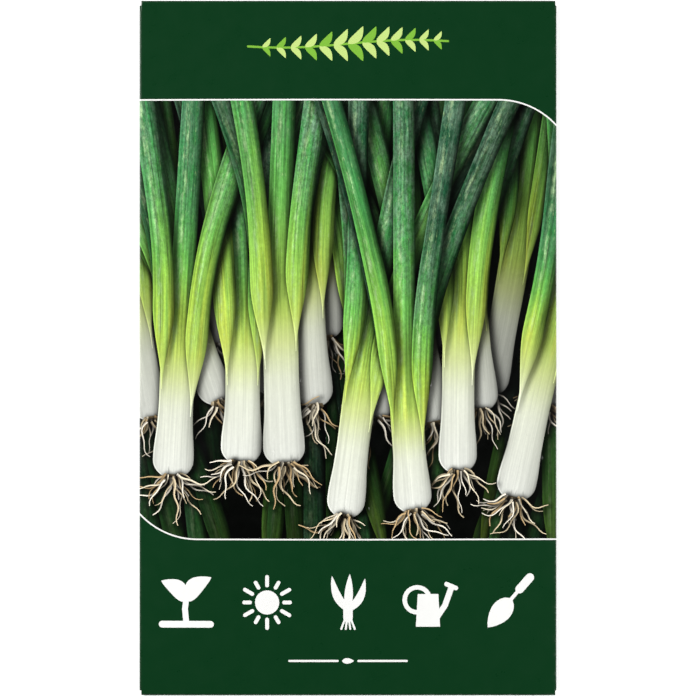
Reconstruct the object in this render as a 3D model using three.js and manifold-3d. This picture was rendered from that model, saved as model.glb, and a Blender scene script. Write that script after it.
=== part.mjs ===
// A paper seed packet, filled, glued shut and lying on its back with its front up. Millimetres.
// +X runs across the packet, +Y towards its top edge and +Z out of its front. The origin is on
// the surface that it lies on, under the packet's middle. The packet is one sheet of paper,
// folded round and glued to itself on the back: a side lap, a bottom flap and a top flap.

import * as THREE from "three";
import Module from "manifold-3d";
import { mergeVertices } from "three/addons/utils/BufferGeometryUtils.js";

const wasm = await Module();
wasm.setup();

// Driving dimensions of the closed packet.
const WIDTH = 96;
const HEIGHT = 160;
const PAPER = 0.2; // thickness of the sheet
const GAP = 0.1; // glue film, or air, between two layers of paper

// The blank outside the front panel.
const BACK_EDGE_INSET = 4; // from the packet's right edge to the back panel's free edge
const LAP_WIDTH = 14; // side lap, glued inside the back panel
const LAP_END_TAPER = 4; // how much shorter each end of the lap gets towards its free edge
const BOTTOM_FLAP = 14;
const TOP_FLAP = 21;
const FLAP_TAPER = 7; // how far each side of a flap slants in towards its free edge
const CORNER_RELIEF = 0.6; // cut away where a side fold meets an end fold

// Bands of glue. A flap's band lies `fromEdge` in from the flap's free edge, to its middle.
const SIDE_GLUE = { width: 6, length: 138 };
const BOTTOM_GLUE = { width: 78, length: 6, fromEdge: 5 };
const TOP_GLUE = { width: 78, length: 8, fromEdge: 6 };

// How far the front panel is pushed up by air and by the seeds, and how round the pillow is.
const AIR_RISE = 2.1;
const SEED_RISE = 1.7;
const PILLOW_POWER = 2.4;

// The heap of seeds, spread in an oval below the packet's middle. The front panel bulges
// over `bulge` times the oval.
const HEAP = { x: -3, y: -20, halfWidth: 15, halfHeight: 20, bulge: 2 };
const SEED = { long: 1.5, wide: 1.15, thick: 0.85, pitch: 3, clearance: 0.3 };
const SEED_SCATTER = 0.3; // of the pitch
const SEED_TILT = 0.5; // radians
const SEED_DRAW = 20;
const CORE_SIDES = 14;
const CORE_RINGS = 8;

// Colours of the printed paper, the dried glue and the seeds.
const PRINTED_GREEN = 0x123a1f;
const GLUE_AMBER = 0xd9cfa8;
const SEED_BLACK = 0x17150f;

// Heights of the middle of each layer of paper, from the surface up: end flaps, back panel,
// side lap and, at its edges, the front panel.
const LAYER = PAPER + GAP;
const FLAP_LEVEL = PAPER / 2;
const BACK_LEVEL = FLAP_LEVEL + LAYER;
const LAP_LEVEL = BACK_LEVEL + LAYER;
const FRONT_LEVEL = LAP_LEVEL + LAYER;

// Each fold is a half turn. Its fold line stands in from the packet's edge by its outer radius.
const LEFT_FOLD = (FRONT_LEVEL - BACK_LEVEL) / 2;
const RIGHT_FOLD = (FRONT_LEVEL - LAP_LEVEL) / 2;
const END_FOLD = (FRONT_LEVEL - FLAP_LEVEL) / 2;
const LEFT_LINE = -WIDTH / 2 + LEFT_FOLD + PAPER / 2;
const RIGHT_LINE = WIDTH / 2 - RIGHT_FOLD - PAPER / 2;
const END_LINE = HEIGHT / 2 - END_FOLD - PAPER / 2;
const BACK_HALF = END_LINE - CORNER_RELIEF;
const BACK_WIDTH = WIDTH / 2 - BACK_EDGE_INSET - LEFT_LINE;

// How the blank is divided for the bent surface.
const STEPS = { front: 18, back: 4, lap: 2, fold: 4, panel: 28, flap: 2 };

// Height of the front panel above its own edges: a shallow pillow, fuller over the seeds.
function frontRise(x, y) {
  const across = (2 * (x - LEFT_LINE)) / (RIGHT_LINE - LEFT_LINE) - 1;
  const lens = (q) => 1 - Math.abs(q) ** PILLOW_POWER;
  const heapX = (x - HEAP.x) / (HEAP.halfWidth * HEAP.bulge);
  const heapY = (y - HEAP.y) / (HEAP.halfHeight * HEAP.bulge);
  const overSeeds = Math.exp(-heapX * heapX - heapY * heapY);
  return lens(across) * lens(y / END_LINE) * (AIR_RISE + SEED_RISE * overSeeds);
}

// Follows the paper from a fold line at distance `past` beyond it, round a half turn of the
// given radius and then straight back. `out` is how far it lies outside the fold line.
function roundFold(past, radius) {
  const turned = Math.min(past / radius, Math.PI);
  const flat = past - turned * radius;
  return {
    out: radius * Math.sin(turned) - flat,
    drop: radius * (1 - Math.cos(turned)),
    lean: Math.sin(turned),
    up: Math.cos(turned),
    flat,
  };
}

// The middle of the paper and its outward normal, for a point of the flat blank: `s` runs
// across the blank and `t` along it, both from the middle of the front panel.
function foldedPoint(s, t) {
  const pastEnd = Math.abs(t) - END_LINE;
  if (pastEnd > 0) {
    const flapLength = t > 0 ? TOP_FLAP : BOTTOM_FLAP;
    const fold = roundFold(pastEnd, END_FOLD);
    const slant = 1 - ((FLAP_TAPER / RIGHT_LINE) * fold.flat) / flapLength;
    return {
      at: new THREE.Vector3(s * slant, Math.sign(t) * (END_LINE + fold.out), FRONT_LEVEL - fold.drop),
      normal: new THREE.Vector3(0, Math.sign(t) * fold.lean, fold.up),
    };
  }
  if (s < LEFT_LINE) {
    const fold = roundFold(LEFT_LINE - s, LEFT_FOLD);
    return {
      at: new THREE.Vector3(LEFT_LINE - fold.out, t, FRONT_LEVEL - fold.drop),
      normal: new THREE.Vector3(-fold.lean, 0, fold.up),
    };
  }
  if (s > RIGHT_LINE) {
    const fold = roundFold(s - RIGHT_LINE, RIGHT_FOLD);
    const slant = 1 - ((LAP_END_TAPER / BACK_HALF) * fold.flat) / LAP_WIDTH;
    return {
      at: new THREE.Vector3(RIGHT_LINE + fold.out, t * slant, FRONT_LEVEL - fold.drop),
      normal: new THREE.Vector3(fold.lean, 0, fold.up),
    };
  }
  const step = 0.01;
  const riseX = (frontRise(s + step, t) - frontRise(s - step, t)) / (2 * step);
  const riseY = (frontRise(s, t + step) - frontRise(s, t - step)) / (2 * step);
  return {
    at: new THREE.Vector3(s, t, FRONT_LEVEL + frontRise(s, t)),
    normal: new THREE.Vector3(-riseX, -riseY, 1).normalize(),
  };
}

// Lines that divide a stretch of the blank evenly, without its far end.
function divide(from, to, count) {
  return Array.from({ length: count }, (_, i) => from + ((to - from) * i) / count);
}

// The sheet of paper: a grid over the flat blank, folded, and thickened to both sides.
function paperSheet() {
  const leftArc = Math.PI * LEFT_FOLD;
  const rightArc = Math.PI * RIGHT_FOLD;
  const endArc = Math.PI * END_FOLD;
  const columns = [
    ...divide(LEFT_LINE - leftArc - BACK_WIDTH, LEFT_LINE - leftArc, STEPS.back),
    ...divide(LEFT_LINE - leftArc, LEFT_LINE, STEPS.fold),
    ...divide(LEFT_LINE, RIGHT_LINE, STEPS.front),
    ...divide(RIGHT_LINE, RIGHT_LINE + rightArc, STEPS.fold),
    ...divide(RIGHT_LINE + rightArc, RIGHT_LINE + rightArc + LAP_WIDTH, STEPS.lap),
    RIGHT_LINE + rightArc + LAP_WIDTH,
  ];
  const rows = [
    ...divide(-END_LINE - endArc - BOTTOM_FLAP, -END_LINE - endArc, STEPS.flap),
    ...divide(-END_LINE - endArc, -END_LINE, STEPS.fold),
    -END_LINE,
    ...divide(-BACK_HALF, BACK_HALF, STEPS.panel),
    BACK_HALF,
    ...divide(END_LINE, END_LINE + endArc, STEPS.fold),
    ...divide(END_LINE + endArc, END_LINE + endArc + TOP_FLAP, STEPS.flap),
    END_LINE + endArc + TOP_FLAP,
  ];
  const isPaper = (i, j) => {
    const s = (columns[i] + columns[i + 1]) / 2;
    const t = (rows[j] + rows[j + 1]) / 2;
    return (s > LEFT_LINE && s < RIGHT_LINE) || Math.abs(t) < BACK_HALF;
  };

  const positions = [];
  const numbered = new Map();
  const corner = (i, j) => {
    const key = i * rows.length + j;
    if (!numbered.has(key)) {
      numbered.set(key, numbered.size);
      const { at, normal } = foldedPoint(columns[i], rows[j]);
      positions.push(...at.clone().addScaledVector(normal, PAPER / 2));
      positions.push(...at.clone().addScaledVector(normal, -PAPER / 2));
    }
    return numbered.get(key);
  };
  const outer = (k) => 2 * k;
  const inner = (k) => 2 * k + 1;

  const faces = [];
  const edges = new Set();
  for (let i = 0; i + 1 < columns.length; i++) {
    for (let j = 0; j + 1 < rows.length; j++) {
      if (!isPaper(i, j)) continue;
      const ring = [corner(i, j), corner(i + 1, j), corner(i + 1, j + 1), corner(i, j + 1)];
      const [a, b, c, d] = ring;
      faces.push(outer(a), outer(b), outer(c), outer(a), outer(c), outer(d));
      faces.push(inner(a), inner(c), inner(b), inner(a), inner(d), inner(c));
      ring.forEach((from, n) => edges.add(`${from},${ring[(n + 1) % ring.length]}`));
    }
  }
  for (const edge of edges) {
    const [from, to] = edge.split(",").map(Number);
    if (edges.has(`${to},${from}`)) continue;
    faces.push(outer(to), outer(from), inner(from), outer(to), inner(from), inner(to));
  }

  const geometry = new THREE.BufferGeometry();
  geometry.setAttribute("position", new THREE.Float32BufferAttribute(positions, 3));
  geometry.setIndex(faces);
  geometry.computeVertexNormals();
  return geometry;
}

// A band of dried glue between two layers of paper, held just clear of both.
function glueBand(band) {
  return new THREE.BoxGeometry(band.width, band.length, 0.8 * GAP);
}

// Repeatable random numbers from 0 to 1.
function drawer(seed) {
  let state = seed;
  return () => {
    state = (Math.imul(state, 1664525) + 1013904223) >>> 0;
    return state / 2 ** 32;
  };
}

function toSolid(geometry) {
  geometry.deleteAttribute("normal");
  geometry.deleteAttribute("uv");
  const merged = mergeVertices(geometry);
  return new wasm.Manifold(
    new wasm.Mesh({
      numProp: 3,
      vertProperties: merged.attributes.position.array,
      triVerts: new Uint32Array(merged.index.array),
    }),
  );
}

function toGeometry(solid) {
  const mesh = solid.getMesh();
  const geometry = new THREE.BufferGeometry();
  geometry.setAttribute("position", new THREE.Float32BufferAttribute(mesh.vertProperties, 3));
  geometry.setIndex(new THREE.BufferAttribute(mesh.triVerts, 1));
  geometry.computeVertexNormals();
  return geometry;
}

// The seeds: small angular grains on a jittered hexagonal spread, one layer on the back panel
// and one under the front. They stand out of a low core, which holds the heap together.
function seedHeap() {
  const draw = drawer(SEED_DRAW);
  const low = BACK_LEVEL + PAPER / 2 + SEED.clearance + SEED.thick;
  const high = (x, y) => FRONT_LEVEL - PAPER / 2 + frontRise(x, y) - SEED.clearance - SEED.thick;

  const core = new THREE.SphereGeometry(1, CORE_SIDES, CORE_RINGS);
  const points = core.attributes.position;
  for (let i = 0; i < points.count; i++) {
    const x = HEAP.x + points.getX(i) * HEAP.halfWidth;
    const y = HEAP.y + points.getY(i) * HEAP.halfHeight;
    const level = (points.getZ(i) + 1) / 2;
    points.setXYZ(i, x, y, low + level * (high(x, y) - low));
  }

  const solids = [toSolid(core)];
  const rowStep = (SEED.pitch * Math.sqrt(3)) / 2;
  const rowsEachWay = Math.ceil(HEAP.halfHeight / rowStep);
  const grainsEachWay = Math.ceil(HEAP.halfWidth / SEED.pitch);
  for (let row = -rowsEachWay; row <= rowsEachWay; row++) {
    for (let n = -grainsEachWay; n <= grainsEachWay; n++) {
      const x = (n + (row & 1) / 2 + SEED_SCATTER * (draw() - 0.5)) * SEED.pitch;
      const y = (row + SEED_SCATTER * (draw() - 0.5)) * rowStep;
      if (Math.hypot(x / HEAP.halfWidth, y / HEAP.halfHeight) > 1) continue;
      for (const z of [low, high(HEAP.x + x, HEAP.y + y)]) {
        const turn = new THREE.Euler(
          SEED_TILT * (draw() - 0.5),
          SEED_TILT * (draw() - 0.5),
          Math.PI * draw(),
        );
        const grain = new THREE.OctahedronGeometry(1)
          .scale(SEED.long, SEED.wide, SEED.thick)
          .applyMatrix4(new THREE.Matrix4().makeRotationFromEuler(turn))
          .translate(HEAP.x + x, HEAP.y + y, z);
        solids.push(toSolid(grain));
      }
    }
  }
  const bodies = wasm.Manifold.union(solids).decompose();
  bodies.sort((a, b) => b.volume() - a.volume());
  return toGeometry(bodies[0]);
}

function named(name, geometry, color, roughness) {
  const material = new THREE.MeshStandardMaterial({ color, roughness, metalness: 0 });
  const mesh = new THREE.Mesh(geometry, material);
  mesh.name = name;
  return mesh;
}

const packet = new THREE.Group();
packet.add(named("paper_sheet", paperSheet(), PRINTED_GREEN, 0.45));
packet.add(named("seeds", seedHeap(), SEED_BLACK, 0.8));

const lapFreeEdge = RIGHT_LINE - LAP_WIDTH;
const backFreeEdge = WIDTH / 2 - BACK_EDGE_INSET;
const sideGlue = named("side_seam_glue", glueBand(SIDE_GLUE), GLUE_AMBER, 0.4);
sideGlue.position.set((lapFreeEdge + backFreeEdge) / 2, 0, (BACK_LEVEL + LAP_LEVEL) / 2);
packet.add(sideGlue);

const flapGlueLevel = (FLAP_LEVEL + BACK_LEVEL) / 2;
const bottomGlue = named("bottom_flap_glue", glueBand(BOTTOM_GLUE), GLUE_AMBER, 0.4);
bottomGlue.position.set(0, BOTTOM_FLAP - END_LINE - BOTTOM_GLUE.fromEdge, flapGlueLevel);
packet.add(bottomGlue);

const topGlue = named("top_flap_glue", glueBand(TOP_GLUE), GLUE_AMBER, 0.4);
topGlue.position.set(0, END_LINE - TOP_FLAP + TOP_GLUE.fromEdge, flapGlueLevel);
packet.add(topGlue);

export default packet;
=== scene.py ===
# A paper seed packet lying on its back, front up, on a pale table. It is put together as the real
# one is: a printed sheet of paper, folded round and glued on its back, over a heap of seeds.

import math
import random
from types import SimpleNamespace

import bpy
import numpy as np
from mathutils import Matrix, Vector
from mathutils.geometry import delaunay_2d_cdt


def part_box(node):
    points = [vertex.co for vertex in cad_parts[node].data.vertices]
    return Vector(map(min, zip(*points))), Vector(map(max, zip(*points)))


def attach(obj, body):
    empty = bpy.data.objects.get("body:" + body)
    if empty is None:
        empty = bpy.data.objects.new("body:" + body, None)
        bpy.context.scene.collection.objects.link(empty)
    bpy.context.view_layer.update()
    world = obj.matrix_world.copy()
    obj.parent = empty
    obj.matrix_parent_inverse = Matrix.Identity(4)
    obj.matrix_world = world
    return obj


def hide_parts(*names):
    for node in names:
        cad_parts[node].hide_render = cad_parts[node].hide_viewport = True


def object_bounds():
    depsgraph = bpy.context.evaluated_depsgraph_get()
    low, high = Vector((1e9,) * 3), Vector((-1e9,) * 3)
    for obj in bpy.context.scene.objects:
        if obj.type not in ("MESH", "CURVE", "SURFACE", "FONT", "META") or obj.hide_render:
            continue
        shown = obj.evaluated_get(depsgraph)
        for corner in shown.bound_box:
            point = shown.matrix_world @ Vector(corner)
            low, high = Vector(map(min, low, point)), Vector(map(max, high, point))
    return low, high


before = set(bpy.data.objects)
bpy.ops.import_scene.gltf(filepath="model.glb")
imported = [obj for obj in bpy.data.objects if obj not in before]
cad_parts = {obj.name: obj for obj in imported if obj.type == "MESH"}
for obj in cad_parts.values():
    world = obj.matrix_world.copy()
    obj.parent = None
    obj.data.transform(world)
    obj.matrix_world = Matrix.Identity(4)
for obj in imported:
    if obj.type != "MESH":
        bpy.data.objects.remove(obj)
cad_low, cad_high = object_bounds()

# Camera: straight above the packet, with a long lens, as on a copy stand. The packet's height
# fills the picture.
LENS_MM = 200
SENSOR_MM = 36


def new_object(name, data):
    made = bpy.data.objects.new(name, data)
    bpy.context.scene.collection.objects.link(made)
    return made


middle = (cad_low + cad_high) / 2
view_height = cad_high.y - cad_low.y
camera_data = bpy.data.cameras.new("copy_stand_camera")
camera_data.lens = LENS_MM
camera_data.sensor_width = SENSOR_MM
camera_data.clip_start = 0.01
camera_data.clip_end = 20
camera = new_object("copy_stand_camera", camera_data)
camera.location = (middle.x, middle.y, middle.z + view_height * LENS_MM / SENSOR_MM)
bpy.context.scene.camera = camera
bpy.context.scene.view_settings.view_transform = "Standard"

# Studio light: a large softbox at the upper left, a weaker one at the right and a low strip behind
# the top edge. All stand far from the vertical, so the satin print doesn't mirror them upwards.
SOFTBOXES = {
    "left_softbox": {"at": (-0.68, 0.26, 0.44), "size": 0.5, "watts": 9.1},
    "right_softbox": {"at": (0.7, -0.12, 0.42), "size": 0.5, "watts": 6.7},
    "top_strip": {"at": (0.1, 0.78, 0.3), "size": 0.35, "watts": 0.4},
}
for name, box in SOFTBOXES.items():
    lamp = bpy.data.lights.new(name, "AREA")
    lamp.energy = box["watts"]
    lamp.size = box["size"]
    softbox = new_object(name, lamp)
    softbox.location = box["at"]
    softbox.rotation_euler = (Vector((0, 0, 0)) - Vector(box["at"])).to_track_quat("-Z", "Y").to_euler()

# The room: pale walls, a white backdrop, and a dark card over the camera that keeps reflections
# off the print.
WALL_LIGHT = 0.22
CARD_LIGHT = 0.01
CARD_BEGINS = 0.4
CARD_FULL = 0.8
BACKDROP = 0.97


def add(tree, kind, inputs, out=0, **settings):
    """Adds a node, sets or wires its inputs, and returns one of its outputs.

    In a mix node, inputs 2 and 3 are the two numbers, and 6 and 7 the two colours."""
    node = tree.nodes.new(kind)
    for name, value in settings.items():
        setattr(node, name, value)
    for key, value in inputs.items():
        if isinstance(value, bpy.types.NodeSocket):
            tree.links.new(value, node.inputs[key])
        else:
            node.inputs[key].default_value = value
    return node.outputs[out]


room = bpy.data.worlds.new("studio_room")
bpy.context.scene.world = room
room.use_nodes = True
tree = room.node_tree
direction = add(tree, "ShaderNodeTexCoord", {}, out="Generated")
height = add(tree, "ShaderNodeSeparateXYZ", {0: direction}, out="Z")
fading = {"Value": height, "From Min": CARD_BEGINS, "From Max": CARD_FULL}
fading |= {"To Min": WALL_LIGHT, "To Max": CARD_LIGHT}
reflected = add(tree, "ShaderNodeMapRange", fading, interpolation_type="SMOOTHSTEP")
seen = add(tree, "ShaderNodeLightPath", {}, out="Is Camera Ray")
brightness = add(tree, "ShaderNodeMix", {0: seen, 2: reflected, 3: BACKDROP})
background = tree.nodes["Background"].inputs
background["Color"].default_value = (1, 1, 1, 1)
tree.links.new(brightness, background["Strength"])

# Table: a wide white board, lit from below like a light table, so that shadows on it stay faint.
# It is seen only from above, so that the packet's back can be looked at.
FLOOR_HALF = 1.6
FLOOR_DROP = 0.00002
floor_mesh = bpy.data.meshes.new("table_top")
floor_mesh.from_pydata(
    [(x * FLOOR_HALF, y * FLOOR_HALF, -FLOOR_DROP) for x, y in ((-1, -1), (1, -1), (1, 1), (-1, 1))],
    [],
    [(0, 1, 2, 3)],
)


def new_material(name):
    material = bpy.data.materials.new(name)
    material.use_nodes = True
    return material, material.node_tree, material.node_tree.nodes["Principled BSDF"].inputs


table_paint, tree, shader = new_material("table_paint")
shader["Base Color"].default_value = (0.86, 0.86, 0.85, 1)
shader["Roughness"].default_value = 0.9
shader["Specular IOR Level"].default_value = 0.1
shader["Emission Color"].default_value = (1, 1, 0.99, 1)
shader["Emission Strength"].default_value = 0.45
from_below = add(tree, "ShaderNodeNewGeometry", {}, out="Backfacing")
clear = add(tree, "ShaderNodeBsdfTransparent", {})
painted = tree.nodes["Principled BSDF"].outputs[0]
one_sided = add(tree, "ShaderNodeMixShader", {0: from_below, 1: painted, 2: clear})
tree.links.new(one_sided, tree.nodes["Material Output"].inputs["Surface"])
table_paint.cycles.emission_sampling = "NONE"
floor_mesh.materials.append(table_paint)
table_top = new_object("table_top", floor_mesh)

# Paper sheet: one die-cut blank of coated paper, printed on one side, folded round at the left
# edge, lapped and glued at the right, and closed with a bottom and a top flap. The print is laid
# out on the flat blank (s across, t along, from the middle of the front) and folds with it.
MM = 0.001
PAPER = 0.2
GAP = 0.1
BACK_EDGE_INSET = 4
LAP_WIDTH = 14
LAP_END_TAPER = 4
BOTTOM_FLAP = 14
TOP_FLAP = 21
FLAP_TAPER = 7
CORNER_RELIEF = 0.6
AIR_RISE = 2.1
SEED_RISE = 1.7
PILLOW_POWER = 2.4
HEAP_X = -3
HEAP_Y = -20
HEAP_HALF_WIDTH = 15
HEAP_HALF_HEIGHT = 20
HEAP_BULGE = 2

sheet_low, sheet_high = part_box("paper_sheet")
WIDTH = (sheet_high.x - sheet_low.x) / MM
HEIGHT = (sheet_high.y - sheet_low.y) / MM
LAYER = PAPER + GAP
FLAP_LEVEL = PAPER / 2
BACK_LEVEL = FLAP_LEVEL + LAYER
LAP_LEVEL = BACK_LEVEL + LAYER
FRONT_LEVEL = LAP_LEVEL + LAYER
LEFT_FOLD = (FRONT_LEVEL - BACK_LEVEL) / 2
RIGHT_FOLD = (FRONT_LEVEL - LAP_LEVEL) / 2
END_FOLD = (FRONT_LEVEL - FLAP_LEVEL) / 2
LEFT_LINE = -WIDTH / 2 + LEFT_FOLD + PAPER / 2
RIGHT_LINE = WIDTH / 2 - RIGHT_FOLD - PAPER / 2
END_LINE = HEIGHT / 2 - END_FOLD - PAPER / 2
BACK_HALF = END_LINE - CORNER_RELIEF
BACK_WIDTH = WIDTH / 2 - BACK_EDGE_INSET - LEFT_LINE
LEFT_ARC = math.pi * LEFT_FOLD
RIGHT_ARC = math.pi * RIGHT_FOLD
END_ARC = math.pi * END_FOLD
BLANK_LEFT = LEFT_LINE - LEFT_ARC - BACK_WIDTH
BLANK_RIGHT = RIGHT_LINE + RIGHT_ARC + LAP_WIDTH
BLANK_TOP = END_LINE + END_ARC + TOP_FLAP
BLANK_BOTTOM = -END_LINE - END_ARC - BOTTOM_FLAP


def lens(q):
    return 1 - np.abs(np.clip(q, -1, 1)) ** PILLOW_POWER


def smooth(q):
    q = np.clip(q, 0, 1)
    return q * q * (3 - 2 * q)


# Small life of the paper over the smooth pillow, in mm: slow waves, creases that run out from the
# heap, buckles along the side folds, and the dents of single seeds.
WAVES = 7
WAVE_HEIGHT = 0.05
CREASES = 9
CREASE_HEIGHT = 0.16
CREASES_BEGIN = 18  # from the middle of the heap
CREASES_GROW = 34
BUCKLE_HEIGHT = 0.14
BUCKLE_RISE = 2
BUCKLE_REACH = 9
SEED_DENTS = 70
DENT_HEIGHT = 0.07
DENT_RADIUS = 1.1
life = random.Random(11)
waves = []
for _ in range(WAVES):
    waves.append((life.uniform(0, math.tau), math.tau / life.uniform(18, 46), life.uniform(0, math.tau)))
dents = []
for _ in range(SEED_DENTS):
    outwards = math.sqrt(life.random())
    turn = life.uniform(0, math.tau)
    dent_x = HEAP_X + HEAP_HALF_WIDTH * outwards * math.cos(turn)
    dents.append((dent_x, HEAP_Y + HEAP_HALF_HEIGHT * outwards * math.sin(turn)))


def front_rise(x, y):
    """How far the front stands out over its own folds."""
    across = 2 * (x - LEFT_LINE) / (RIGHT_LINE - LEFT_LINE) - 1
    heap_x = (x - HEAP_X) / (HEAP_HALF_WIDTH * HEAP_BULGE)
    heap_y = (y - HEAP_Y) / (HEAP_HALF_HEIGHT * HEAP_BULGE)
    fullness = lens(across) * lens(y / END_LINE)
    rise = fullness * (AIR_RISE + SEED_RISE * np.exp(-heap_x**2 - heap_y**2))
    for turn, pitch, phase in waves:
        ahead = x * math.cos(turn) + y * math.sin(turn)
        rise = rise + fullness * WAVE_HEIGHT * np.sin(pitch * ahead + phase)
    angle = np.arctan2(y - HEAP_Y, x - HEAP_X)
    away = np.hypot(x - HEAP_X, y - HEAP_Y)
    creases = np.sin(CREASES * angle + 1.7 * np.sin(2 * angle))
    creases = creases * smooth((away - CREASES_BEGIN) / CREASES_GROW)
    rise = rise + CREASE_HEIGHT * fullness * creases
    from_side = np.minimum(x - LEFT_LINE, RIGHT_LINE - x).clip(0)
    buckle = (1 - np.exp(-from_side / BUCKLE_RISE)) * np.exp(-from_side / BUCKLE_REACH)
    wobble = np.sin(y / 3.1 + 1.3 * np.sin(y / 11) + 2 * np.sign(x))
    rise = rise + BUCKLE_HEIGHT * lens(y / END_LINE) * buckle * wobble
    for dent_x, dent_y in dents:
        rise = rise + DENT_HEIGHT * np.exp(-((x - dent_x) ** 2 + (y - dent_y) ** 2) / DENT_RADIUS**2)
    return rise


def round_fold(past, radius):
    """Place, tilt and flat remainder of points that lie `past` mm beyond the start of a fold."""
    turned = np.minimum(past / radius, math.pi)
    flat = past - turned * radius
    out = radius * np.sin(turned) - flat
    drop = radius * (1 - np.cos(turned))
    return out, drop, np.sin(turned), np.cos(turned), flat


# Between the flaps and the glued lap, the back sags a little and has slow waves.
BACK_SAG = 0.17
SAG_RIGHT = 33
SAG_BOTTOM = -64
SAG_TOP = 57


def back_sag(x, y):
    across = lens(2 * (x - LEFT_LINE) / (SAG_RIGHT - LEFT_LINE) - 1)
    along = lens(2 * (y - SAG_BOTTOM) / (SAG_TOP - SAG_BOTTOM) - 1)
    wave = np.sin(0.17 * x + 0.11 * y + 1) + np.sin(0.13 * y - 0.19 * x) + np.sin(0.31 * y + 0.07 * x)
    return BACK_SAG * across * along * (0.62 + 0.12 * wave)


def folded(s, t, lift):
    """Places of points of the flat blank on the folded sheet, `lift` mm out from its middle."""
    step = 0.02
    slope_x = (front_rise(s + step, t) - front_rise(s - step, t)) / (2 * step)
    slope_y = (front_rise(s, t + step) - front_rise(s, t - step)) / (2 * step)
    normal = np.stack([-slope_x, -slope_y, np.ones_like(s)], axis=1)
    normal /= np.linalg.norm(normal, axis=1)[:, None]
    place = np.stack([s, t, FRONT_LEVEL + front_rise(s, t)], axis=1)

    left = s < LEFT_LINE
    out, drop, lean, up, flat = round_fold(LEFT_LINE - s[left], LEFT_FOLD)
    drop = drop + back_sag(LEFT_LINE - out, t[left])
    place[left] = np.stack([LEFT_LINE - out, t[left], FRONT_LEVEL - drop], axis=1)
    normal[left] = np.stack([-lean, 0 * lean, up], axis=1)

    right = s > RIGHT_LINE
    out, drop, lean, up, flat = round_fold(s[right] - RIGHT_LINE, RIGHT_FOLD)
    slant = 1 - LAP_END_TAPER / BACK_HALF * flat / LAP_WIDTH
    place[right] = np.stack([RIGHT_LINE + out, t[right] * slant, FRONT_LEVEL - drop], axis=1)
    normal[right] = np.stack([lean, 0 * lean, up], axis=1)

    end = np.abs(t) > END_LINE
    side = np.sign(t[end])
    out, drop, lean, up, flat = round_fold(np.abs(t[end]) - END_LINE, END_FOLD)
    slant = 1 - FLAP_TAPER / RIGHT_LINE * flat / np.where(side > 0, TOP_FLAP, BOTTOM_FLAP)
    place[end] = np.stack([s[end] * slant, side * (END_LINE + out), FRONT_LEVEL - drop], axis=1)
    normal[end] = np.stack([0 * lean, side * lean, up], axis=1)
    return place + lift * normal


# What is printed is a stack of flat shapes, the later ones over the earlier ones. A strip is a
# leaf, shaft or root of the picture: it has a centre line, a half width and tones along it.
def ink(red, green, blue):
    """A printed colour, from 0 to 255 as seen, as linear light."""
    seen = np.array([red, green, blue]) / 255
    return np.where(seen <= 0.04045, seen / 12.92, ((seen + 0.055) / 1.055) ** 2.4)


DARK_GREEN = ink(11, 54, 26)
PAPER_WHITE = ink(246, 246, 243)
LIME = ink(126, 184, 62)
PALE_LIME = ink(196, 222, 130)
NIGHT = ink(1, 2, 1)

shapes = []


def divided(outline, pitch=1.5):
    """The same closed outline, with more points on its long sides, so that it can bend."""
    points = []
    for start, end in zip(outline, [*outline[1:], outline[0]]):
        pieces = max(math.ceil(math.dist(start, end) / pitch), 1)
        points += [
            (start[0] + (end[0] - start[0]) * i / pieces, start[1] + (end[1] - start[1]) * i / pieces)
            for i in range(pieces)
        ]
    return points


def lay(outline, colour):
    outline = [tuple(point) for point in outline]
    shapes.append(SimpleNamespace(outline=np.array(divided(outline)), colour=colour, strip=None))


def oblong(s0, t0, s1, t1):
    return [(s0, t0), (s1, t0), (s1, t1), (s0, t1)]


def arc(s, t, radius, start, end, pieces=20):
    """Points on an arc, between two angles in degrees."""
    turns = np.radians(np.linspace(start, end, pieces + 1))
    return [(s + radius * math.cos(turn), t + radius * math.sin(turn)) for turn in turns]


def rounded(s0, t0, s1, t1, radius):
    corners = [(s1, t1, 0), (s0, t1, 90), (s0, t0, 180), (s1, t0, 270)]
    outline = []
    for s, t, start in corners:
        inward_s = s - radius if s == s1 else s + radius
        inward_t = t - radius if t == t1 else t + radius
        outline += arc(inward_s, inward_t, radius, start, start + 90, 6)
    return outline


def line(points, width):
    """A stroke with round ends along a few points."""
    points = np.asarray(points, float)
    ahead = np.gradient(points, axis=0)
    ahead /= np.linalg.norm(ahead, axis=1)[:, None]
    aside = np.stack([-ahead[:, 1], ahead[:, 0]], axis=1) * width / 2
    last = math.degrees(math.atan2(ahead[-1, 1], ahead[-1, 0]))
    first = math.degrees(math.atan2(ahead[0, 1], ahead[0, 0]))
    end_cap = arc(*points[-1], width / 2, last - 90, last + 90, 8)
    start_cap = arc(*points[0], width / 2, first + 90, first + 270, 8)
    return [*(points - aside), *end_cap[1:-1], *(points + aside)[::-1], *start_cap[1:-1]]


def blade(foot, tip, width, bend=0.0):
    """A pointed leaf from foot to tip."""
    foot = np.asarray(foot, float)
    tip = np.asarray(tip, float)
    along = tip - foot
    aside = np.array([-along[1], along[0]])
    share = np.linspace(0, 1, 11)
    spine = foot + share[:, None] * along + (bend * np.sin(math.pi * share))[:, None] * aside
    half = width / 2 * np.sin(math.pi * share**0.8) ** 0.8 / np.linalg.norm(along)
    return [*(spine - half[:, None] * aside)[:-1], *(spine + half[:, None] * aside)[:0:-1]]


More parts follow.
